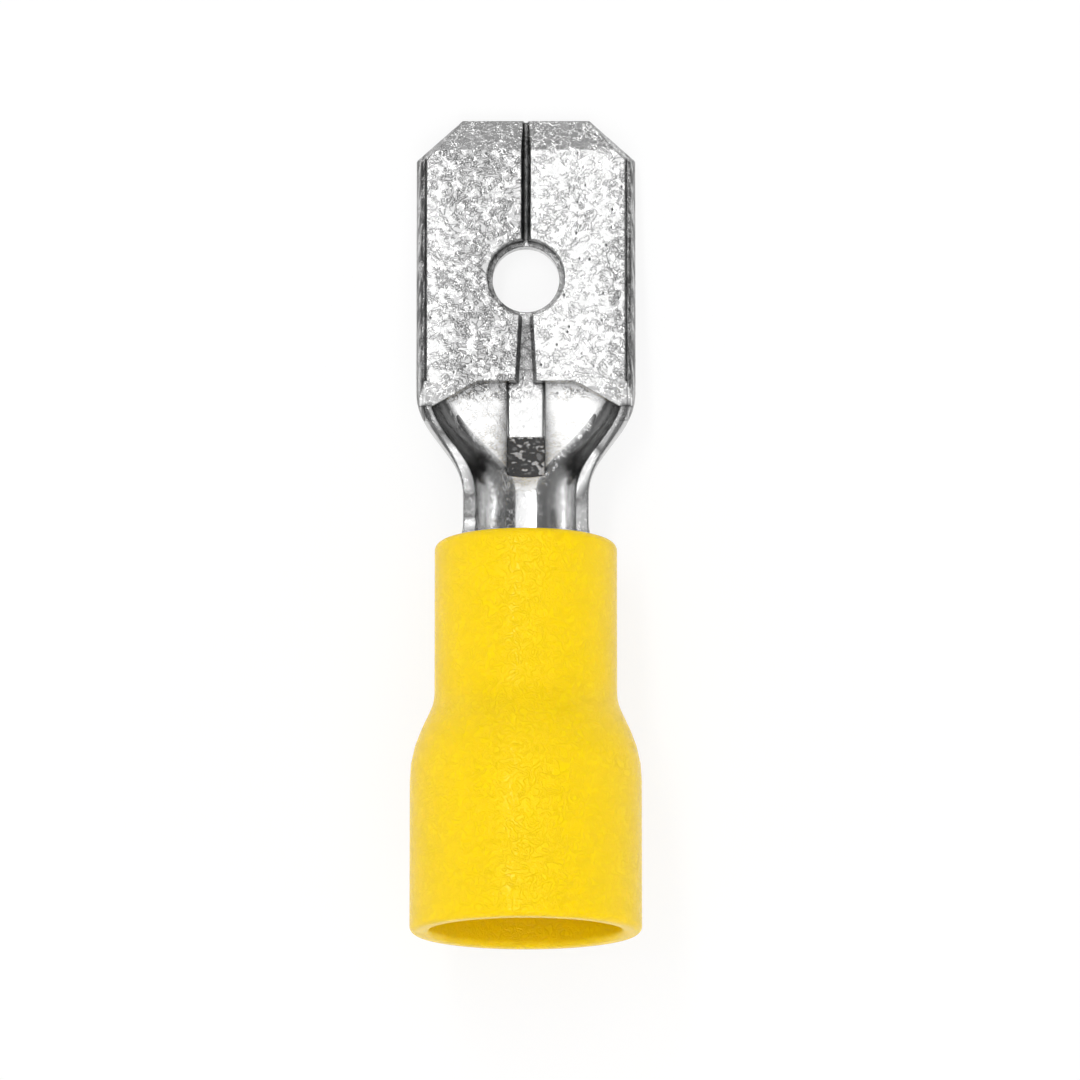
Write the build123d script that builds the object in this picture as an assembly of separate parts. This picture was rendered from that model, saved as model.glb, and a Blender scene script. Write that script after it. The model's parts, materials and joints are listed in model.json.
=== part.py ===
# Insulated male tab crimp terminal in millimetres. It is two pieces: a terminal stamped and folded
# from one strip of tinned brass sheet, and a moulded insulating sleeve pushed over its wire barrel.
# Both are built upright, with the axis on Z, the sleeve's mouth at height 0, the tip of the tab on
# top and the open, seamed side towards -Y. They are then laid down as the terminal comes to rest,
# seam side up, on the upper rim of the sleeve and the lead-in of the tab.

import math
import os

from build123d import *

# Brass sheet
sheet = 0.38                # thickness of the plated sheet
fold_gap = 0.04             # slit that stays inside the flattened folds
coin_angle = 19             # part of each fold's quarter round that coining flattens, in degrees
crease_width = 0.09         # crease that coining leaves beside each fold
crease_depth = 0.05

# Tab: back sheet with two flaps folded in over it
tab_width = 6.4
tab_length = 8.0
tip_width = 3.7             # straight part of the tip, between the clipped corners
clip_height = 1.22          # height of each clipped corner
tip_thickness = 0.36        # thickness left at the very tip
lead_in = 1.0               # length of the bevel across the tip
corner_lead_in = 0.2        # width of the bevel along each clipped corner
hole_to_tip = 4.7
hole_diameter = 1.96        # through the back sheet
flap_hole_clearance = 0.16  # how much further out the flaps' hole is cut, all round

# Seam between the two flaps, as wide as given at its foot and wider in front
seam_width = 0.07
seam_below_hole = 0.19
seam_at_bottom = 0.42
seam_opening = 0.11         # how far each side leans back on its way to the front

# Lower edge of the flaps: level beside the seam, then slanting down to the folds
flap_level_half = 1.4       # half width of the level stretch
flap_rise = 0.2             # level stretch above the start of the tab
flap_drop = 0.54            # end of the slant below the start of the tab
facet_inner = 1.55          # where the pressed corner facet starts, from the centre
facet_depth = 0.22          # how deep the facet runs at the flap's corner

# Funnel, from the start of the tab down to the neck
funnel_length = 3.3
shoulder_blend = 0.05       # how far above its start the tab reaches its full width
floor_blend = 0.8           # how far above its start the tab's back is flat
floor_rounding = 0.2        # share of the floor's slope that rounds it at each end
floor_lag = 0.2             # how far above the neck the floor reaches the neck's depth
rim_fall = 0.3              # where the walls' cut edges start to fall, below the tab's start
rim_level = 0.06            # how far the cut edges stand over the mid-plane at the neck
corner_fill = 0.34          # how much rounder the funnel's inner corners are than it is deep
corner_fill_length = 1.5    # from the neck up to where that is reached
keel_angle = 12             # half angle of the floor's own arc where the channel is round
channel_steps = 20          # sections that shape the channel, less one

# Rib raised in the funnel's floor, with its groove at the back
rib_width = 1.1
rib_rounding = 0.1
rib_level_length = 1.4      # from the tab's start down to where the rib's top turns down
rib_foot_rise = 0.9         # from the neck up to where the rib's nose meets the floor
rib_sink = 0.05             # how far the nose runs on into the floor
rib_run_on = 0.75           # share of the floor's blend above the tab's start, where the rib dies out
groove_width = 0.4

# Neck, and its flare out to the barrel
neck_width = 3.66
neck_length = 0.7
neck_flare = 0.8
neck_step = 0.03            # the neck's wall meets the barrel's end this far inside its wall

# Wire barrel
barrel_bore = 3.4
barrel_length = 5.3
barrel_seam = 0.08
barrel_entry = 0.12         # chamfer at the wire end of the bore
serration_count = 3
serration_pitch = 1.2
serration_width = 0.3
serration_depth = 0.08

# Insulating sleeve, from its mouth up to its rim
mouth_diameter = 6.72       # outside, at the mouth
mouth_wall = 0.59
tube_diameter = 5.3         # outside, round the barrel
sleeve_fit = 0.03           # radial clearance round the barrel
entry_depth = 4.3           # depth of the straight insulation entry
guide_length = 1.57         # tapered wire guide between the entry and the barrel
guide_clearance = 0.03      # the guide's small end, wider than the barrel's bore
seat_clearance = 0.03       # between the guide's end and the barrel
barrel_recess = 0.25        # from the sleeve's rim down to the end of the barrel
flare_start = 0.92          # lower corner of the flare above the end of the entry
flare_length = 1.52
flare_top_rounding = 1.3
flare_bottom_rounding = 3.5
rim_rounding = 0.24
mouth_rounding = 0.2

# Heights above the mouth, which follow from the lengths above
guide_top = entry_depth + guide_length
barrel_bottom = guide_top + seat_clearance
barrel_top = barrel_bottom + barrel_length
sleeve_length = barrel_top + barrel_recess
flare_bottom = entry_depth + flare_start
flare_top = flare_bottom + flare_length
neck_bottom = barrel_top + neck_flare
neck_top = neck_bottom + neck_length
floor_bottom = neck_top + floor_lag
tab_start = neck_top + funnel_length
total_length = tab_start + tab_length
rim_fall_start = tab_start - rim_fall
rib_level_end = tab_start - rib_level_length
rib_foot = neck_top + rib_foot_rise
flap_bottom = tab_start + flap_rise
flap_corner = tab_start - flap_drop
channel_top = tab_start + floor_blend + fold_gap
rib_top = tab_start + rib_run_on * floor_blend
hole_height = total_length - hole_to_tip

# Half sizes and radii
tab_half = tab_width / 2
half_thick = sheet + fold_gap / 2
coined_front = half_thick * math.cos(math.radians(coin_angle))
neck_half = neck_width / 2
bore_radius = barrel_bore / 2
barrel_radius = bore_radius + sheet
mouth_radius = mouth_diameter / 2
tube_radius = tube_diameter / 2
clear_of_part = 2 * tab_width


def ease(share):
    # Smooth step from 0 to 1, level and without curvature at both ends
    held = min(max(share, 0), 1)
    return held**3 * (10 - 15 * held + 6 * held**2)


def steady(share):
    # Even slope from 0 to 1 with rounded ends
    held = min(max(share, 0), 1)
    near = min(held, 1 - held)
    if near < floor_rounding:
        rise = near**2 / (2 * floor_rounding)
    else:
        rise = near - floor_rounding / 2
    rise /= 1 - floor_rounding
    return rise if held < 0.5 else 1 - rise


def half_width(height):
    # Outer half width of the strip, from the barrel through the neck and funnel to the tab
    widening = ease((height - neck_top) / (tab_start + shoulder_blend - neck_top))
    barrel_part = ease((neck_bottom - height) / (neck_bottom - barrel_top))
    return (
        neck_half
        + (tab_half - neck_half) * widening
        + (barrel_radius - neck_step - neck_half) * barrel_part
    )


def flatness(height):
    # How far the channel's floor has turned from round, 0 at the neck, to flat, 1 at the tab
    return steady((height - floor_bottom) / (tab_start + floor_blend - floor_bottom))


def floor_depth(height):
    # Depth of the channel's back face behind the mid-plane
    round_depth = half_width(min(height, neck_top))
    return round_depth + (half_thick - round_depth) * flatness(height)


def rim_height(height):
    # How far the walls' cut edges stand in front of the mid-plane
    rise = ease((height - neck_top) / (rim_fall_start - neck_top))
    return rim_level + (coined_front - rim_level) * rise


def inner_fill(height):
    # How much larger the inner corners' radius is than the channel's inner depth
    above_neck = ease((height - neck_top) / corner_fill_length)
    below_top = ease((channel_top - height) / (channel_top - flap_corner))
    return corner_fill * above_neck * below_top


def channel_outline(height, half, depth, radius):
    # Lower half of a section: two corner arcs and the floor between them
    lean = keel_angle * (1 - flatness(height))
    keel_x = half - radius + radius * math.sin(math.radians(lean))
    keel_y = depth - radius + radius * math.cos(math.radians(lean))
    corner = CenterArc((half - radius, depth - radius), radius, 0, 90 - lean)
    if lean > keel_angle / 10:
        floor = ThreePointArc((keel_x, keel_y), (0, depth), (-keel_x, keel_y))
    else:
        floor = Line((keel_x, keel_y), (-keel_x, keel_y))
    return [corner, corner.mirror(Plane.YZ), floor]


def outer_section(height):
    # Closed in front by two roundings, cut off level by the coining
    half = half_width(height)
    front = rim_height(height)
    kept = 90 - coin_angle
    radius = front / math.cos(math.radians(coin_angle))
    kink = half - radius + radius * math.sin(math.radians(coin_angle))
    rounding = CenterArc((half - radius, 0), radius, -kept, kept)
    rim = Line((kink, -front), (-kink, -front))
    depth = floor_depth(height)
    outline = channel_outline(height, half, depth, depth)
    outline += [rounding, rounding.mirror(Plane.YZ), rim]
    return Pos(0, 0, height) * Face(Wire(outline))


def inner_section(height):
    # The same section one sheet further in, with straight sides that run out in front
    half = half_width(height) - sheet
    depth = floor_depth(height) - sheet
    fill = inner_fill(height)
    side = Line((half, -fill), (half, -barrel_radius))
    front = Line((half, -barrel_radius), (-half, -barrel_radius))
    outline = channel_outline(height, half, depth, depth + fill)
    outline += [side, side.mirror(Plane.YZ), front]
    return Pos(0, 0, height) * Face(Wire(outline))


def channel_loft(section):
    # Loft from the barrel to the tab through evenly spaced sections
    step = (channel_top - barrel_top) / channel_steps
    return loft([section(barrel_top + step * index) for index in range(channel_steps + 1)])


def front_prism(outline, back, front):
    # Prism seen from the front: an (X, height) outline taken from depth back to depth front
    face = Plane.XZ * make_face(outline)
    return Pos(0, back, 0) * extrude(face, back - front)


def side_prism(outline, width):
    # Prism seen from the side: a (depth, height) outline of the given width, centred on X
    face = Plane.YZ * make_face(outline)
    return extrude(face, width / 2, both=True)


def bevelled_end(bevel):
    # Long plate whose upper end, at height 0, is bevelled from both faces
    tip_half = tip_thickness / 2
    outline = Polyline(
        (-half_thick, -total_length),
        (-half_thick, -bevel),
        (-tip_half, 0),
        (tip_half, 0),
        (half_thick, -bevel),
        (half_thick, -total_length),
        close=True,
    )
    return side_prism(outline, 2 * clear_of_part)


def tab_body():
    # Outer form of the folded tab: full-round sides, clipped corners and a bevelled tip
    prism = extrude(outer_section(channel_top), total_length - channel_top)
    prism &= Pos(0, 0, total_length) * bevelled_end(lead_in)
    tip_half = tip_width / 2
    turn = math.degrees(math.atan2(clip_height, tab_half - tip_half))
    for side in (-1, 1):
        corner = Pos(side * tip_half, 0, total_length) * Rot(0, side * turn, 0)
        prism &= corner * bevelled_end(corner_lead_in)
    return prism


def flap_cover():
    # Everything above the flaps' lower edge, in front of the fold slit
    wall = half_width(flap_corner) - sheet
    outline = Polyline(
        (-clear_of_part, total_length),
        (-clear_of_part, flap_corner),
        (-wall, flap_corner),
        (-flap_level_half, flap_bottom),
        (flap_level_half, flap_bottom),
        (wall, flap_corner),
        (clear_of_part, flap_corner),
        (clear_of_part, total_length),
        close=True,
    )
    return front_prism(outline, -fold_gap / 2, -clear_of_part)


def fold_slit():
    # Thin slit between the back sheet and the flaps, up through the tip
    slit = extrude(inner_section(channel_top), tab_length)
    return slit - flap_cover()


def seam_face(depth, opening):
    # The seam's outline at one depth, each side moved out by the opening
    below_hole = hole_height - hole_diameter / 2
    above_hole = hole_height + hole_diameter / 2
    right = [
        (seam_at_bottom / 2 + opening, flap_corner),
        (seam_at_bottom / 2 + opening, flap_bottom),
        (seam_below_hole / 2 + opening, below_hole),
        (seam_width / 2 + opening, above_hole),
        (seam_width / 2 + opening, total_length + sheet),
    ]
    left = [(-x, height) for x, height in reversed(right)]
    outline = Polyline(*right, *left, close=True)
    return Pos(0, depth, 0) * (Plane.XZ * make_face(outline))


def seam_slot():
    # Gap between the two flaps, with sides that lean back: narrow at the tip, opening below the hole
    return loft([seam_face(0, 0), seam_face(-half_thick, seam_opening)], ruled=True)


def fold_creases():
    # Sharp groove between the coined face and each fold
    kink = tab_half - half_thick + half_thick * math.sin(math.radians(coin_angle))
    creases = Part()
    for side in (-1, 1):
        outline = Polyline(
            (side * (kink - crease_width / 2), -half_thick),
            (side * (kink - crease_width / 2), -coined_front),
            (side * kink, crease_depth - coined_front),
            (side * (kink + crease_width / 2), -coined_front),
            (side * (kink + crease_width / 2), -half_thick),
            close=True,
        )
        length = total_length - lead_in - flap_bottom
        creases += Pos(0, 0, flap_bottom) * extrude(make_face(outline), length)
    return creases


def tab_hole():
    # Hole through the back sheet, and the wider one through the flaps
    radius = hole_diameter / 2
    axis = Pos(0, 0, hole_height) * Rot(90, 0, 0)
    flap_radius = radius + flap_hole_clearance
    front = Pos(0, -clear_of_part / 2, 0) * (axis * Cylinder(flap_radius, clear_of_part))
    return axis * Cylinder(radius, clear_of_part) + front


def corner_facets():
    # Shallow pressed facet at the lower outer corner of each flap
    align = (Align.CENTER, Align.CENTER, Align.MIN)
    facets = Part()
    for side in (-1, 1):
        inner = Vector(side * facet_inner, -coined_front, tab_start)
        outer = Vector(side * tab_half, -coined_front, flap_bottom)
        corner = Vector(side * tab_half, facet_depth - coined_front, flap_corner)
        along = outer - inner
        normal = (corner - inner).cross(along) * side
        plane = Plane(origin=inner, x_dir=along, z_dir=normal)
        facets += plane * Box(clear_of_part, clear_of_part, sheet, align=align)
    return facets & (Pos(0, 0, flap_corner) * Box(clear_of_part, clear_of_part, tab_length, align=align))


def floor_rib():
    # Rib that keeps the level of the tab's back sheet before its nose turns down to the floor
    top = fold_gap / 2
    inside = sheet / 2
    foot = floor_depth(rib_foot) - sheet + rib_sink
    outline = Polyline(
        (top, rib_top),
        (top, rib_level_end),
        (foot, rib_foot),
        (foot + inside, rib_foot),
        (floor_depth(rib_level_end) - inside, rib_level_end),
        (top + inside, rib_top),
        close=True,
    )
    rib = side_prism(outline, rib_width)
    long_edges = rib.edges().filter_by(Axis.Z).group_by(Axis.Y)[0]
    return fillet(long_edges, rib_rounding)


def rib_groove():
    # Groove behind the rib, one sheet further back
    front = half_thick
    foot = floor_depth(rib_foot) + rib_sink
    back = foot + sheet
    outline = Polyline(
        (front, tab_start),
        (front, rib_level_end),
        (foot, rib_foot),
        (back, rib_foot),
        (back, tab_start),
        close=True,
    )
    return side_prism(outline, groove_width)


def wire_barrel():
    # Rolled tube with a butt seam in front and serrations in its bore
    profile = Polyline(
        (bore_radius + barrel_entry, barrel_bottom),
        (barrel_radius, barrel_bottom),
        (barrel_radius, barrel_top),
        (bore_radius, barrel_top),
        (bore_radius, barrel_bottom + barrel_entry),
        close=True,
    )
    tube = revolve(Plane.XZ * make_face(profile), Axis.Z)
    middle = (barrel_bottom + barrel_top) / 2
    for index in range(serration_count):
        height = middle + (index - (serration_count - 1) / 2) * serration_pitch
        groove = Cylinder(bore_radius + serration_depth, serration_width)
        tube -= Pos(0, 0, height) * groove
    slit = Box(barrel_seam, barrel_radius, barrel_length, align=(Align.CENTER, Align.MAX, Align.MIN))
    return tube - Pos(0, 0, barrel_bottom) * slit


def tab_terminal():
    body = tab_body() + channel_loft(outer_section)
    hollow = channel_loft(inner_section) - flap_cover()
    body -= hollow
    body -= fold_slit()
    body -= seam_slot()
    body -= fold_creases()
    body -= corner_facets()
    body += floor_rib()
    body -= rib_groove()
    body -= tab_hole()
    return body + wire_barrel()


def insulating_sleeve():
    # Revolved shell: barrel seat, wire guide, insulation entry and rounded flare outside
    seat_radius = barrel_radius + sleeve_fit
    entry_radius = mouth_radius - mouth_wall
    guide_radius = bore_radius + guide_clearance
    guide_land = 2 * guide_clearance
    profile = make_face(
        Polyline(
            (seat_radius, sleeve_length),
            (tube_radius, sleeve_length),
            (tube_radius, flare_top),
            (mouth_radius, flare_bottom),
            (mouth_radius, 0),
            (entry_radius, 0),
            (entry_radius, entry_depth),
            (guide_radius, guide_top - guide_land),
            (guide_radius, guide_top),
            (seat_radius, guide_top),
            close=True,
        )
    )
    roundings = (
        (tube_radius, sleeve_length, rim_rounding),
        (tube_radius, flare_top, flare_top_rounding),
        (mouth_radius, flare_bottom, flare_bottom_rounding),
        (mouth_radius, 0, mouth_rounding),
        (entry_radius, 0, mouth_rounding),
    )
    for radius, height, rounding in roundings:
        corner = profile.vertices().sort_by_distance((radius, height, 0))[0]
        profile = fillet(corner, rounding)
    return revolve(Plane.XZ * profile, Axis.Z)


def rest_tilt():
    # Angle of the line that touches the sleeve's rounded upper rim and the lead-in's edge
    across = total_length - lead_in - (sleeve_length - rim_rounding)
    behind = tube_radius - rim_rounding - half_thick
    reach = math.hypot(across, behind)
    tilt = math.atan2(behind, across) + math.asin(rim_rounding / reach)
    return math.degrees(tilt)


def main():
    parts = {"tab_terminal": tab_terminal(), "insulating_sleeve": insulating_sleeve()}
    lying = {name: Rot(-90 - rest_tilt(), 0, 0) * part for name, part in parts.items()}
    box = Compound(list(lying.values())).bounding_box()
    to_origin = Pos(-box.center().X, -box.center().Y, -box.min.Z)
    os.makedirs("parts", exist_ok=True)
    for name, part in lying.items():
        export_step(to_origin * part, f"parts/{name}.step")
        print(f"{name}: {part.volume:.2f} cubic mm, tilt {rest_tilt():.2f} degrees")


main()
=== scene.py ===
# Insulated male tab crimp terminal, lying on a pale table and seen from above.
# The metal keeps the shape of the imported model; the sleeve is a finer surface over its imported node.
import json
import math

import bpy
import numpy as np
from mathutils import Matrix, Vector


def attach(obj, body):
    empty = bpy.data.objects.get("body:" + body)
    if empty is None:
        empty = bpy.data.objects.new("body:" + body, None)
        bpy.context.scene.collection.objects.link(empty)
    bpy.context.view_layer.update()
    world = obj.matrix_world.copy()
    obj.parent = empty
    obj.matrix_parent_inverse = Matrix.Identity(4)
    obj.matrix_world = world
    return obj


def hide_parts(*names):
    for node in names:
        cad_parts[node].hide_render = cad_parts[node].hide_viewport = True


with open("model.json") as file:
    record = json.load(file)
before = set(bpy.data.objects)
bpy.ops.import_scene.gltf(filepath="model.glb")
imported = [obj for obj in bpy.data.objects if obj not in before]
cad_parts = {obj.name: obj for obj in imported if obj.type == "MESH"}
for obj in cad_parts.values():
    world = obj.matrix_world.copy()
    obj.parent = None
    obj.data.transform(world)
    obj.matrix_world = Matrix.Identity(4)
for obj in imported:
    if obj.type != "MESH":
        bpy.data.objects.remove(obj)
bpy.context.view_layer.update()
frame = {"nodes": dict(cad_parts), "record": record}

mm = 0.001
scene = bpy.context.scene
print("stage: frame loaded")

# The terminal's own axes, read from the mounts: along the tab, across it and out of its back
mounts = {mount["name"]: mount for mount in frame["record"]["mounts"]}
toTip = -np.array(mounts["insulation_entry"]["axis"])
toBack = np.array(mounts["detent_hole"]["axis"])
toRight = np.array([1.0, 0.0, 0.0])
mouthRounding = 0.2           # mm; the entry mount lies this far inside the mouth
mouthCentre = np.array(mounts["insulation_entry"]["pos_m"]) - toTip * (mouthRounding * mm)

# Kinds and settings of the nodes that are used most
rampNode, mathNode, mixNode = "ShaderNodeValToRGB", "ShaderNodeMath", "ShaderNodeMix"
dotNode, dotProduct = "ShaderNodeVectorMath", {"operation": "DOT_PRODUCT"}
colours = {"data_type": "RGBA"}
add, multiply, divide = ({"operation": name} for name in ("ADD", "MULTIPLY", "DIVIDE"))
highest, unsigned = ({"operation": name} for name in ("MAXIMUM", "ABSOLUTE"))
above, under = ({"operation": name} for name in ("GREATER_THAN", "LESS_THAN"))


def place(right, back, height):
    # From the terminal's own axes, heights above the sleeve's mouth, to the table's axes
    right, back, height = (np.asarray(part)[..., None] for part in (right, back, height))
    return mouthCentre + right * toRight + back * toBack + height * toTip


def linear(hexColour):
    # sRGB hex to linear red, green, blue and alpha
    parts = [int(hexColour[i:i + 2], 16) / 255 for i in (1, 3, 5)]
    return [c / 12.92 if c <= 0.04045 else ((c + 0.055) / 1.055) ** 2.4 for c in parts] + [1.0]


def addNode(tree, kind, settings=None, inputs=None, stops=None):
    # One node. An input is a value, a hex colour, or what feeds it: a (node, output) pair, or a
    # node for the first output that it uses. Stops are a ramp's {position: grey or hex colour}
    node = tree.nodes.new(kind)
    for name, value in (settings or {}).items():
        setattr(node, name, value)
    for name, value in (inputs or {}).items():
        if isinstance(value, bpy.types.Node):
            output = next(socket for socket in value.outputs if socket.enabled)
            tree.links.new(output, node.inputs[name])
        elif isinstance(value, tuple) and isinstance(value[0], bpy.types.Node):
            tree.links.new(value[0].outputs[value[1]], node.inputs[name])
        else:
            node.inputs[name].default_value = linear(value) if isinstance(value, str) else value
    if stops:
        elements = node.color_ramp.elements
        elements.remove(elements[-1])
    for index, (position, value) in enumerate(sorted((stops or {}).items())):
        element = elements.new(position) if index else elements[0]
        element.position = position
        element.color = linear(value) if isinstance(value, str) else [value, value, value, 1.0]
    return node


def contours(halfWidth, strengths, ground=0.0):
    # Ramp stops for thin lines along a noise's contours, from {level: strength}
    stops = {}
    for level, strength in strengths.items():
        stops[round(level - halfWidth, 4)] = ground
        stops[level] = strength
        stops[round(level + halfWidth, 4)] = ground
    return stops


def newMaterial(name):
    material = bpy.data.materials.new(name)
    material.use_nodes = True
    material.node_tree.nodes.clear()
    return material, material.node_tree


# Electro-tinned brass sheet, folded and then coined flat: a near white mirror, crinkled and pitted
# where the coining pressed it, with painted shade in the wrinkles and pits and painted highlights
# on their crests, smooth and softly wavy where it was only bent, with painted shade in its crevices
tin = {
    "colour": "#D2D2D2",
    "shade": "#4E4E4E",       # painted shade in wrinkles and pits
    "grey": "#B0B0B0",        # in patches and most on the left flap, under a denser crackle
    "bright": "#FFFFFF",      # painted highlights on crests between wrinkles, and in curls on the slants
    "pressed": "#A2A2A2",     # painted shade on faces pressed at a slant, which lean from the front
    # Streaks of cut edges and of drawn folds, and roughness in patches: {noise level: value}
    "sheared": {0.40: "#9A9A9A", 0.48: "#626262", 0.56: "#D0D0D0", 0.64: "#8A8A8A"},
    "drawn": {0.36: "#7C7C7C", 0.50: "#ACACAC", 0.62: "#D0D0D0"},
    "roughness": {0.35: 0.13, 0.65: 0.23},
    "noise": {                # mm between features, detail, distortion
        "wrinkles": (0.46, 0.0, 2.2),
        "fine": (0.23, 0.0, 1.8),
        "patches": (1.8, 1.0, 0.3),
        "breaks": (0.24, 1.0, 0.0),      # they cut wrinkles into strokes
        "waves": (0.9, 1.0, 0.0),
    },
    "pitSpacing": 0.40,       # mm between pits
    "pitSize": 0.052,         # mm
    "patchShare": 0.55,       # how much patches thin the crackle out
    "bandShare": 0.30,        # and how much its place across the tab does
    "waveDepth": 0.03,        # mm
    "waveStrength": 0.4,
    "relief": 0.010,          # mm, depth of the wrinkles
    "reliefStrength": 0.7,
    "edge": 0.06,             # mm, softened edges
    "edgeTone": 0.25,         # how dark the painted shade at them is
    "crevice": 0.7,           # mm, reach of the painted shade in gaps
    "coinedFrom": 4.25,       # mm along the table's Y, where the coined tab starts
    "coinedBlend": 0.5,       # mm over which it does
    "bentShare": 0.22,        # how much of the crackle the bent parts carry
    "halfWidth": 3.2,         # mm, half the tab's width
    "shearedFrom": 1.40,      # mm sideways, where the walls' cut edges start
    "shearedTo": 4.0,         # mm along Y, where they end
    "pressedFrom": 3.3,       # mm along Y, where pressed slants start
    "foldFrom": 2.93,         # mm sideways, where the folds' round edges start, smooth and drawn
    "frontFrom": 0.1,         # mm in front of the sheets' mid-plane, where the front starts
    "streak": 0.10,           # mm between drawing streaks, which run along the terminal
    "streakStretch": 0.12,    # how little they change along it
    "level": 0.94,            # cosine of a face's lean from the tab's front: level above this,
    "slanted": 0.988,         # pressed at a slant below this,
    "steep": 0.80,            # and steep below this
    "noseFrom": 1.55,         # mm along Y, the rib's stretched nose
    "noseTo": 2.85,
    "noseHalf": 0.56,         # mm
    "noseRagged": 0.4,        # mm, how unevenly it ends
    "noseShade": 0.15,
}


def tinCrackle(tree, spot, noise, along, sideways):
    # Painted shade along contour lines of two noises, broken into short strokes and thinned out by
    # patches, with painted highlights on the crests of the wrinkles between them: full on the coined
    # tab, faint elsewhere
    coined = addNode(
        tree, "ShaderNodeMapRange", {"interpolation_type": "SMOOTHSTEP"},
        {"Value": along, "From Min": tin["coinedFrom"] - tin["coinedBlend"],
         "From Max": tin["coinedFrom"], "To Min": tin["bentShare"]})
    lines = addNode(
        tree, rampNode, inputs={"Fac": noise["wrinkles"]},
        stops=contours(0.025, {0.42: 0.8, 0.51: 1.0, 0.60: 0.8}))
    crests = addNode(
        tree, rampNode, inputs={"Fac": noise["wrinkles"]},
        stops=contours(0.02, {0.465: 1.0, 0.555: 1.0}))
    fineLines = addNode(
        tree, rampNode, inputs={"Fac": noise["fine"]},
        stops=contours(0.035, {0.455: 0.9, 0.555: 0.9}))
    broken = addNode(tree, rampNode, inputs={"Fac": noise["breaks"]}, stops={0.38: 0.2, 0.52: 1.0})
    pits = addNode(
        tree, "ShaderNodeTexVoronoi",
        inputs={"Vector": spot, "Scale": 1 / (tin["pitSpacing"] * mm)})
    size = tin["pitSize"] / tin["pitSpacing"]
    holes = addNode(
        tree, rampNode, inputs={"Fac": pits}, stops={size * 0.6: 0.95, size * 1.3: 0.0})

    # Across the tab: bare at the left fold, densest on the left flap, sparse on the right one
    across = addNode(
        tree, "ShaderNodeMapRange",
        inputs={"Value": sideways, "From Min": -tin["halfWidth"], "From Max": tin["halfWidth"]})
    band = addNode(
        tree, rampNode, inputs={"Fac": across},
        stops={0.08: 0.25, 0.18: 1.0, 0.44: 0.9, 0.52: 0.05, 0.84: 0.12, 0.93: 0.75})
    density = addNode(tree, mathNode, multiply, {0: band, 1: tin["bandShare"]})
    patchiness = addNode(tree, mathNode, multiply, {0: noise["patches"], 1: tin["patchShare"]})
    patchy = addNode(tree, mathNode, add, {0: patchiness, 1: density})
    dense = addNode(tree, rampNode, inputs={"Fac": patchy}, stops={0.28: 0.50, 0.54: 1.0})
    greyPatches = addNode(tree, rampNode, inputs={"Fac": patchy}, stops={0.36: 0.0, 0.62: 1.0})

    bothLines = addNode(tree, mathNode, highest, {0: lines, 1: fineLines})
    strokes = addNode(tree, mathNode, multiply, {0: bothLines, 1: broken})
    thinned = addNode(tree, mathNode, multiply, {0: strokes, 1: dense})
    marked = addNode(tree, mathNode, highest, {0: thinned, 1: holes})
    marks = addNode(tree, mathNode, multiply, {0: marked, 1: coined})
    greyShare = addNode(tree, mathNode, multiply, {0: greyPatches, 1: coined})
    # Painted highlights on the crests, where the grey patches are
    greyCrests = addNode(
        tree, mixNode, colours, {"Factor": crests, "A": tin["grey"], "B": tin["bright"]})
    bare = addNode(
        tree, mixNode, colours, {"Factor": greyShare, "A": tin["colour"], "B": greyCrests})
    # Painted shade in the wrinkle lines and pits
    colour = addNode(tree, mixNode, colours, {"Factor": marks, "A": bare, "B": tin["shade"]})
    return marks, strokes, colour


def tinZones(tree, spot, noise, along, sideAway, facing):
    # Where the sheet was sheared, pressed at a slant or stretched over the rib's nose, and where
    # its flaps lie, inside the folds: each zone is where all of its conditions hold
    backward = addNode(tree, dotNode, dotProduct, {0: spot, 1: list(toBack)})
    midPlane = float(mouthCentre @ toBack)
    unevenly = addNode(tree, mathNode, multiply, {0: noise["fine"], 1: tin["noseRagged"]})
    ragged = addNode(tree, mathNode, add, {0: along, 1: unevenly})
    conditions = {
        "sheared": [
            (above, facing, tin["level"]),
            (above, sideAway, tin["shearedFrom"]),
            (under, along, tin["shearedTo"])],
        "pressed": [
            (under, facing, tin["slanted"]),
            (above, along, tin["pressedFrom"]),
            (under, backward, midPlane - tin["frontFrom"] * mm)],
        "flap": [
            (under, sideAway, tin["foldFrom"])],
        "nose": [
            (above, along, tin["noseFrom"]),
            (under, ragged, tin["noseTo"] + tin["noseRagged"] / 2),
            (under, sideAway, tin["noseHalf"]),
            (under, facing, tin["steep"])],
    }
    zones = {}
    for zone, tests in conditions.items():
        for test, value, limit in tests:
            holds = addNode(tree, mathNode, test, {0: value, 1: limit})
            if zone in zones:
                holds = addNode(tree, mathNode, multiply, {0: zones[zone], 1: holds})
            zones[zone] = holds
    return zones


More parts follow.
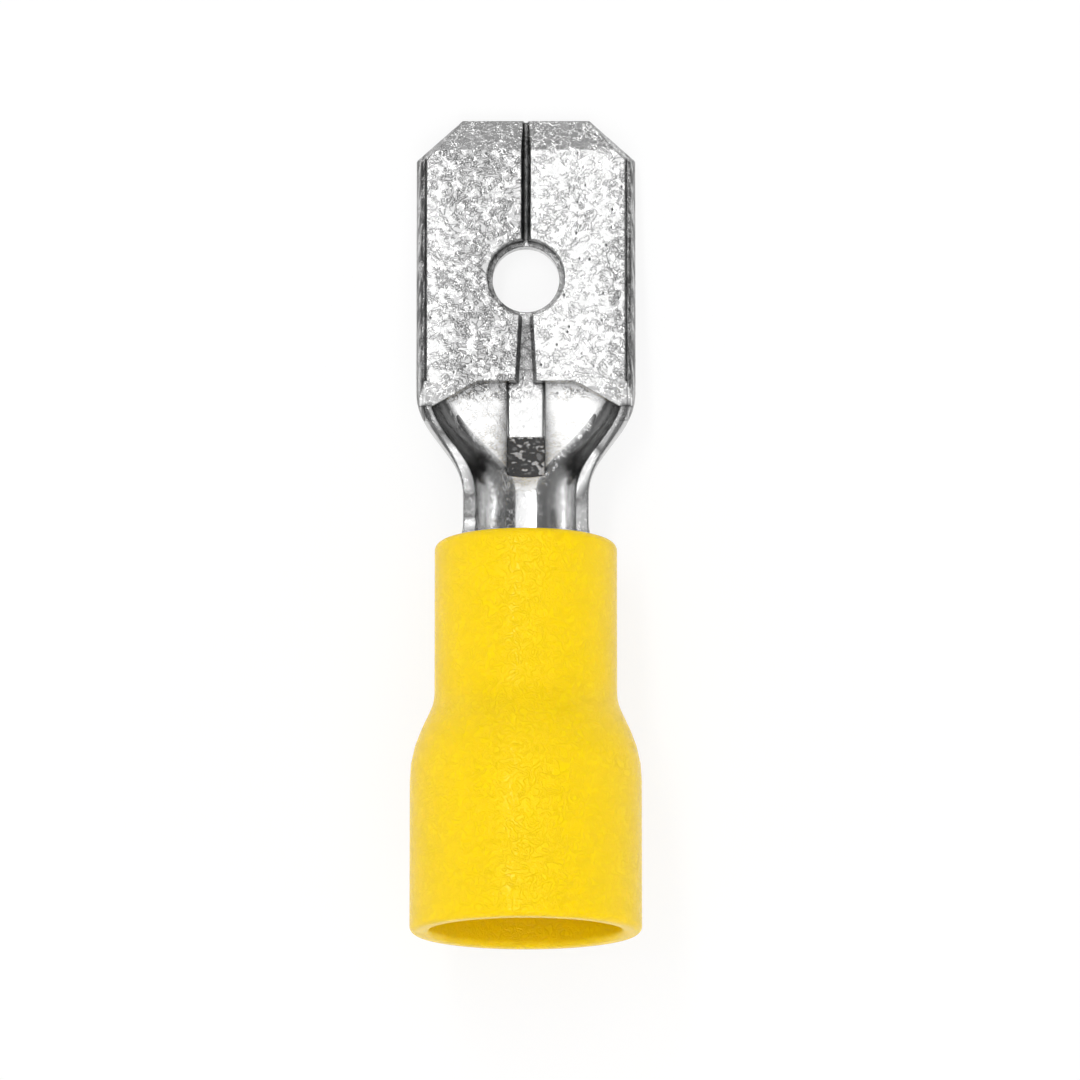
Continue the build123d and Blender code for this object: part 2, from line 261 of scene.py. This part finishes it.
def tinFaces(tree, spot, noise, zones, facing, strokes, colour):
    # Cut edges streaked by the shear; painted shade on the tip's bevels and the flaps' corners, with
    # painted highlights in curls; the folds' round edges smooth, with streaks from drawing and painted
    # shade where they turn from the front
    streaks = addNode(tree, rampNode, inputs={"Fac": noise["patches"]}, stops=tin["sheared"])
    shearedColour = addNode(
        tree, mixNode, colours, {"Factor": zones["sheared"], "A": colour, "B": streaks})
    stretched = addNode(
        tree, "ShaderNodeMapping",
        inputs={"Vector": spot, "Scale": (1.0, tin["streakStretch"], 1.0)})
    drawing = addNode(
        tree, "ShaderNodeTexNoise",
        inputs={"Vector": stretched, "Scale": 1 / (tin["streak"] * mm), "Detail": 1.0})
    foldTone = addNode(tree, rampNode, inputs={"Fac": drawing}, stops=tin["drawn"])
    # Painted shade: the folds' round edges darker as they turn from the front
    edgeOn = addNode(tree, rampNode, inputs={"Fac": facing}, stops={0.15: 0.30, 0.60: 1.0})
    foldShade = addNode(tree, mathNode, multiply, {0: foldTone, 1: edgeOn})
    # Painted shade on the slanted faces, chosen by how they lean, and painted highlights in their curls
    pressedTone = addNode(
        tree, mixNode, colours, {"Factor": zones["flap"], "A": foldShade, "B": tin["pressed"]})
    curled = addNode(tree, mathNode, multiply, {0: strokes, 1: zones["flap"]})
    curls = addNode(
        tree, mixNode, colours, {"Factor": curled, "A": pressedTone, "B": tin["bright"]})
    return addNode(
        tree, mixNode, colours, {"Factor": zones["pressed"], "A": shearedColour, "B": curls})


def tinTone(tree, noise, zones, normals, softened):
    # How dark the metal is painted: painted shade in gaps and inner corners, where little light gets
    # in, painted shade with a few painted glints on the nose, and painted shade at the edges, where the
    # rounded normal leaves the face's own
    # Painted shade in gaps and inner corners, by how enclosed they are
    shelter = addNode(
        tree, "ShaderNodeAmbientOcclusion", {"samples": 8, "only_local": True},
        {"Distance": tin["crevice"] * mm})
    gapShade = addNode(
        tree, rampNode, inputs={"Fac": (shelter, "AO")}, stops={0.22: 0.04, 0.60: 0.40, 0.86: 1.0})
    # Painted shade on the rib's nose, with a few painted glints
    noseShadeAndGlints = addNode(
        tree, rampNode, inputs={"Fac": noise["breaks"]},
        stops={0.30: 0.4, 0.38: tin["noseShade"], 0.57: tin["noseShade"], 0.65: 1.0})
    noseTone = addNode(tree, mixNode, inputs={"Factor": zones["nose"], "A": 1.0, "B": noseShadeAndGlints})
    # Painted shade at the edges, where the rounded normal leaves the face's own
    leaving = addNode(
        tree, dotNode, dotProduct, {0: (normals, "Normal"), 1: (softened, "Normal")})
    edgeShade = addNode(
        tree, rampNode, inputs={"Fac": leaving}, stops={0.88: tin["edgeTone"], 0.985: 1.0})
    gapAndNoseShade = addNode(tree, mathNode, multiply, {0: gapShade, 1: noseTone})
    return addNode(tree, mathNode, multiply, {0: gapAndNoseShade, 1: edgeShade})


def makeTin():
    material, tree = newMaterial("tinPlatedBrass")
    spot = (addNode(tree, "ShaderNodeTexCoord"), "Object")
    noise = {
        name: addNode(tree, "ShaderNodeTexNoise", inputs={
            "Vector": spot, "Scale": 1 / (spacing * mm), "Detail": detail,
            "Distortion": distortion})
        for name, (spacing, detail, distortion) in tin["noise"].items()}
    split = addNode(tree, "ShaderNodeSeparateXYZ", inputs={"Vector": spot})
    along = addNode(tree, mathNode, divide, {0: (split, "Y"), 1: mm})
    sideways = addNode(tree, mathNode, divide, {0: (split, "X"), 1: mm})
    sideAway = addNode(tree, mathNode, unsigned, {0: sideways})
    normals = addNode(tree, "ShaderNodeNewGeometry")
    facing = addNode(tree, dotNode, dotProduct, {0: (normals, "Normal"), 1: list(-toBack)})
    softened = addNode(
        tree, "ShaderNodeBevel", {"samples": 4}, {"Radius": tin["edge"] * mm})

    marks, strokes, colour = tinCrackle(tree, spot, noise, along, sideways)
    zones = tinZones(tree, spot, noise, along, sideAway, facing)
    faceColour = tinFaces(tree, spot, noise, zones, facing, strokes, colour)
    tone = tinTone(tree, noise, zones, normals, softened)
    shadedColour = addNode(
        tree, mixNode, {"data_type": "RGBA", "blend_type": "MULTIPLY"},
        {"Factor": 1.0, "A": faceColour, "B": tone})
    rough = addNode(tree, rampNode, inputs={"Fac": noise["patches"]}, stops=tin["roughness"])
    wavy = addNode(
        tree, "ShaderNodeBump",
        inputs={"Strength": tin["waveStrength"], "Distance": tin["waveDepth"] * mm,
                "Height": noise["waves"], "Normal": softened})
    bump = addNode(
        tree, "ShaderNodeBump", {"invert": True},
        {"Strength": tin["reliefStrength"], "Distance": tin["relief"] * mm,
         "Height": marks, "Normal": wavy})
    shader = addNode(
        tree, "ShaderNodeBsdfPrincipled",
        inputs={"Metallic": 1.0, "Base Color": shadedColour, "Roughness": rough, "Normal": bump})
    addNode(tree, "ShaderNodeOutputMaterial", inputs={"Surface": shader})
    return material


# Plasticised PVC, injection moulded in a spark-eroded mould: warm yellow, satin, its skin drawn
# into very fine creases that only the highlight shows, here a little coarser than the real ones
vinyl = {
    "colour": "#FFD800",
    "deep": "#FFD200",        # painted shade in the creases
    "inner": "#FF9800",       # painted shade inside the mouth, standing in for light that comes by way of more yellow
    "noise": {                # mm between creases, distortion
        "creases": (0.28, 2.0),
        "fine": (0.18, 1.6),
    },
    "relief": 0.014,          # mm
    "reliefStrength": 0.8,
    "roughness": 0.22,
    "ior": 1.53,
    "specular": 0.16,
    "cloudiness": 0.15,       # share of the light that scatters under the skin,
    "cloudReach": 0.3,        # mm, how deep,
    "cloudColour": (0.6, 0.4, 0.1),      # and red, green and blue reach
    "shelter": 2.5,           # mm, how far round a place is looked for walls that shelter it
}


def makeVinyl():
    material, tree = newMaterial("mouldedYellowPvc")
    spot = (addNode(tree, "ShaderNodeTexCoord"), "Object")
    noise = {
        name: addNode(tree, "ShaderNodeTexNoise", inputs={
            "Vector": spot, "Scale": 1 / (spacing * mm), "Detail": 0.0, "Distortion": distortion})
        for name, (spacing, distortion) in vinyl["noise"].items()}
    lines = addNode(
        tree, rampNode, inputs={"Fac": noise["creases"]},
        stops=contours(0.05, {0.41: 0.3, 0.51: 0.0, 0.61: 0.3}, ground=1.0))
    fineLines = addNode(
        tree, rampNode, inputs={"Fac": noise["fine"]},
        stops=contours(0.06, {0.46: 0.6, 0.58: 0.6}, ground=1.0))
    skin = addNode(tree, mathNode, multiply, {0: lines, 1: fineLines})
    # Painted shade: the creases a deeper yellow
    colour = addNode(
        tree, mixNode, colours, {"Factor": skin, "A": vinyl["deep"], "B": vinyl["colour"]})
    shelter = addNode(
        tree, "ShaderNodeAmbientOcclusion", {"samples": 8, "only_local": True},
        {"Distance": vinyl["shelter"] * mm})
    # Painted shade: deeper orange where walls shelter the surface, as inside the mouth
    opened = addNode(
        tree, rampNode, inputs={"Fac": (shelter, "AO")}, stops={0.42: 0.0, 0.80: 1.0})
    bounceShadedColour = addNode(
        tree, mixNode, colours, {"Factor": opened, "A": vinyl["inner"], "B": colour})
    bump = addNode(
        tree, "ShaderNodeBump",
        inputs={"Strength": vinyl["reliefStrength"], "Distance": vinyl["relief"] * mm,
                "Height": skin})
    shader = addNode(
        tree, "ShaderNodeBsdfPrincipled",
        inputs={"Roughness": vinyl["roughness"], "IOR": vinyl["ior"],
                "Specular IOR Level": vinyl["specular"],
                "Subsurface Weight": vinyl["cloudiness"],
                "Subsurface Radius": vinyl["cloudColour"],
                "Subsurface Scale": vinyl["cloudReach"] * mm,
                "Base Color": bounceShadedColour, "Normal": bump})
    addNode(tree, "ShaderNodeOutputMaterial", inputs={"Surface": shader})
    return material


def gridMesh(name, points):
    # Quads over a grid of points, rows by columns, welded round both ways
    rows, columns = points.shape[:2]
    index = np.arange(rows * columns).reshape(rows, columns)
    index = np.concatenate([index, index[:1]], axis=0)
    index = np.concatenate([index, index[:, :1]], axis=1)
    quads = np.stack([index[:-1, :-1], index[:-1, 1:], index[1:, 1:], index[1:, :-1]], axis=-1)
    mesh = bpy.data.meshes.new(name)
    mesh.from_pydata(points.reshape(-1, 3).tolist(), [], quads.reshape(-1, 4).tolist())
    mesh.shade_smooth()
    piece = bpy.data.objects.new(name, mesh)
    scene.collection.objects.link(piece)
    return piece


# Sleeve: radii and heights above the mouth in mm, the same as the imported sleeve's
sleeve = {
    "mouthRadius": 3.36,
    "tubeRadius": 2.65,
    "entryRadius": 2.77,
    "seatRadius": 2.11,
    "guideRadius": 1.73,
    "length": 11.45,
    "entryDepth": 4.3,
    "guideTop": 5.87,
    "guideLand": 0.06,
    "flareBottom": 5.22,
    "flareTop": 6.74,
    "rimRounding": 0.24,
    "mouthRounding": mouthRounding,
    "flareTopRounding": 1.3,
    "flareBottomRounding": 3.5,
    "entryRounding": 0.4,
    "seatRounding": 0.03,
    "guideRounding": 0.02,
    "around": 288,            # columns round the axis
    "spacing": 0.09,          # mm between rows along the profile
    "arcStep": 7,             # degrees between rows on its arcs
}


def roundedProfile(corners, spacing, arcStep):
    # Closed outline through corners (radius, height, rounding): each corner is replaced by the arc
    # tangent to its two sides, and the straight stretches are divided into even steps
    arcs = []
    count = len(corners)
    for i in range(count):
        before, here, after = (np.array(corners[(i + k) % count][:2]) for k in (-1, 0, 1))
        rounding = corners[i][2]
        into, out = here - before, after - here
        into, out = into / np.linalg.norm(into), out / np.linalg.norm(out)
        turn = math.atan2(into[0] * out[1] - into[1] * out[0], into @ out)
        reach = rounding * math.tan(abs(turn) / 2)
        start = here - into * reach
        steps = max(2, int(abs(turn) / math.radians(arcStep)))
        angles = np.linspace(0, turn, steps + 1)[:, None]
        side = math.copysign(1, turn) * np.array([-into[1], into[0]])
        centre = start + side * rounding
        arcs.append(
            centre - side * rounding * np.cos(angles) + into * rounding * np.sin(abs(angles)))
    outline = []
    for arc, nextArc in zip(arcs, arcs[1:] + arcs[:1]):
        start, end = arc[-1], nextArc[0]
        steps = max(1, int(np.linalg.norm(end - start) / spacing))
        shares = np.linspace(0, 1, steps + 1)[1:-1, None]
        outline += [arc, start + (end - start) * shares]
    return np.concatenate(outline)


def makeSleeve():
    s = sleeve
    corners = [
        (s["seatRadius"], s["length"], s["seatRounding"]),
        (s["seatRadius"], s["guideTop"], s["seatRounding"]),
        (s["guideRadius"], s["guideTop"], s["guideRounding"]),
        (s["guideRadius"], s["guideTop"] - s["guideLand"], s["guideRounding"]),
        (s["entryRadius"], s["entryDepth"], s["entryRounding"]),
        (s["entryRadius"], 0.0, s["mouthRounding"]),
        (s["mouthRadius"], 0.0, s["mouthRounding"]),
        (s["mouthRadius"], s["flareBottom"], s["flareBottomRounding"]),
        (s["tubeRadius"], s["flareTop"], s["flareTopRounding"]),
        (s["tubeRadius"], s["length"], s["rimRounding"]),
    ]
    outline = roundedProfile(corners, s["spacing"], s["arcStep"]) * mm
    turn = np.linspace(0, 2 * math.pi, s["around"], endpoint=False)
    radius, height = outline[:, :1], outline[:, 1:]
    # Surface of revolution: each profile point at its radius, turned round the terminal's axis
    points = place(radius * np.sin(turn), -radius * np.cos(turn), height)
    return gridMesh("mouldedSleeve", points)


tinMaterial = makeTin()
vinylMaterial = makeVinyl()
print("stage: materials made")

tabNode = frame["nodes"]["tab_terminal"]
tabNode.data.materials.clear()
tabNode.data.materials.append(tinMaterial)

sleevePiece = makeSleeve()
sleevePiece.data.materials.append(vinylMaterial)
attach(sleevePiece, "root")
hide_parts("insulating_sleeve")
print("stage: sleeve made")

# Table: matt white board, larger than the view, which the eye and reflections see as mostly plain
# white
table = {"colour": "#F7F7F7", "roughness": 0.9, "specular": 0.1, "half": 0.6, "whiteShare": 0.82}


def makeTable():
    material, tree = newMaterial("mattWhiteBoard")
    board = addNode(
        tree, "ShaderNodeBsdfPrincipled",
        inputs={"Base Color": table["colour"], "Roughness": table["roughness"],
                "Specular IOR Level": table["specular"]})
    plainWhite = addNode(tree, "ShaderNodeEmission", inputs={"Strength": 1.0})
    rays = addNode(tree, "ShaderNodeLightPath")
    eyes = addNode(
        tree, mathNode, highest, {0: (rays, "Is Camera Ray"), 1: (rays, "Is Glossy Ray")})
    seen = addNode(tree, mathNode, highest, {0: eyes, 1: (rays, "Is Transmission Ray")})
    share = addNode(tree, mathNode, multiply, {0: seen, 1: table["whiteShare"]})
    surface = addNode(tree, "ShaderNodeMixShader", inputs={"Fac": share, 1: board, 2: plainWhite})
    addNode(tree, "ShaderNodeOutputMaterial", inputs={"Surface": surface})
    half = table["half"]
    corners = [(-half, -half, 0), (half, -half, 0), (half, half, 0), (-half, half, 0)]
    mesh = bpy.data.meshes.new("table")
    mesh.from_pydata(corners, [], [(0, 1, 2, 3)])
    mesh.materials.append(material)
    piece = bpy.data.objects.new("table", mesh)
    scene.collection.objects.link(piece)
    return piece


tablePiece = makeTable()

# Light: a wide white tent overhead with two grey panels, left and right, one large soft lamp at
# the mouth's end and a long strip beside the direction that the flat of the tab mirrors. Places
# and sizes in metres, directions as sines
studio = {
    "tent": 1.0,              # colour of the tent, and how strongly it shines
    "strength": 1.40,
    "panel": 0.10,
    "horizon": 0.25,
    "panelInner": 0.44,       # sideways from overhead, where the panels start
    "panelOuter": 0.78,       # and end
    "panelEdge": 0.06,        # half of their soft edges
    "falling": {0.0: 0.4, 0.30: 0.7, 0.55: 1.0},       # down towards the horizon
    "tipward": {0.55: 1.0, 0.78: 0.5},                 # beyond the tip
    "aim": (0.0, 0.0, 0.002),
    "lamps": {
        "mouthSide": {"place": (0.02, -0.30, 0.32), "size": (0.34, 0.34), "watts": 0.24},
        "strip": {"place": (-0.105, 0.15, 0.38), "size": (0.05, 0.26), "watts": 0.40},
        "fillLeft": {"place": (-0.34, 0.0, 0.10), "size": (0.20, 0.30), "watts": 0.31},
        "fillRight": {"place": (0.34, 0.0, 0.10), "size": (0.20, 0.30), "watts": 0.36},
    },
    "unmirrored": ("fillLeft", "fillRight"),      # lamps that metal and gloss don't show
}


def makeLamps():
    # Each lamp faces the aim, its length in line with the terminal
    for name, lamp in studio["lamps"].items():
        light = bpy.data.lights.new(name, "AREA")
        light.shape = "RECTANGLE"
        light.size, light.size_y = lamp["size"]
        light.energy = lamp["watts"]
        lampObject = bpy.data.objects.new(name, light)
        lampObject.location = lamp["place"]
        outward = (Vector(lamp["place"]) - Vector(studio["aim"])).normalized()
        widthways = Vector((0, 1, 0)).cross(outward).normalized()
        lengthways = outward.cross(widthways)
        axes = Matrix((widthways, lengthways, outward)).transposed()
        lampObject.rotation_euler = axes.to_euler()
        lampObject.visible_glossy = name not in studio["unmirrored"]
        scene.collection.objects.link(lampObject)


def makeTent():
    world = bpy.data.worlds.new("whiteTent")
    world.use_nodes = True
    sky = world.node_tree
    sky.nodes.clear()
    direction = (addNode(sky, "ShaderNodeTexCoord"), "Generated")
    split = addNode(sky, "ShaderNodeSeparateXYZ", inputs={"Vector": direction})
    sideAway = addNode(sky, mathNode, unsigned, {0: (split, "X")})
    inner, outer, edge = studio["panelInner"], studio["panelOuter"], studio["panelEdge"]
    panels = addNode(
        sky, rampNode, inputs={"Fac": sideAway},
        stops={inner - edge: studio["tent"], inner + edge: studio["panel"],
               outer - edge: studio["panel"], outer + edge: studio["horizon"]})
    falling = addNode(sky, rampNode, inputs={"Fac": (split, "Z")}, stops=studio["falling"])
    tipward = addNode(sky, rampNode, inputs={"Fac": (split, "Y")}, stops=studio["tipward"])
    tent = addNode(sky, mathNode, multiply, {0: panels, 1: falling})
    tent = addNode(sky, mathNode, multiply, {0: tent, 1: tipward})
    background = addNode(
        sky, "ShaderNodeBackground", inputs={"Strength": studio["strength"], "Color": tent})
    addNode(sky, "ShaderNodeOutputWorld", inputs={"Surface": background})
    return world


makeLamps()
scene.world = makeTent()
print("stage: table and light made")

# Camera: long lens straight over the table, as in the photograph
view = {
    "distance": 0.30,         # m
    "across": 31.45 * mm,     # width of the picture at the terminal
    "lean": 0.0,              # degrees towards the tab
    "centre": (0.41 * mm, -0.16 * mm, 2.0 * mm),
    "sensor": 36.0,           # mm
    "clip": (0.01, 10.0),     # m, nearest and furthest that it sees
}


def makeCamera():
    camera = bpy.data.cameras.new("camera")
    camera.sensor_width = view["sensor"]
    camera.lens = view["sensor"] * view["distance"] / view["across"]
    camera.clip_start, camera.clip_end = view["clip"]
    cameraObject = bpy.data.objects.new("camera", camera)
    lean = math.radians(view["lean"])
    backOff = view["distance"] * Vector((0, math.sin(lean), math.cos(lean)))
    cameraObject.location = Vector(view["centre"]) + backOff
    cameraObject.rotation_euler = (-lean, 0, 0)
    scene.collection.objects.link(cameraObject)
    return cameraObject


scene.camera = makeCamera()
scene.view_settings.view_transform = "Standard"
print("stage: camera set")
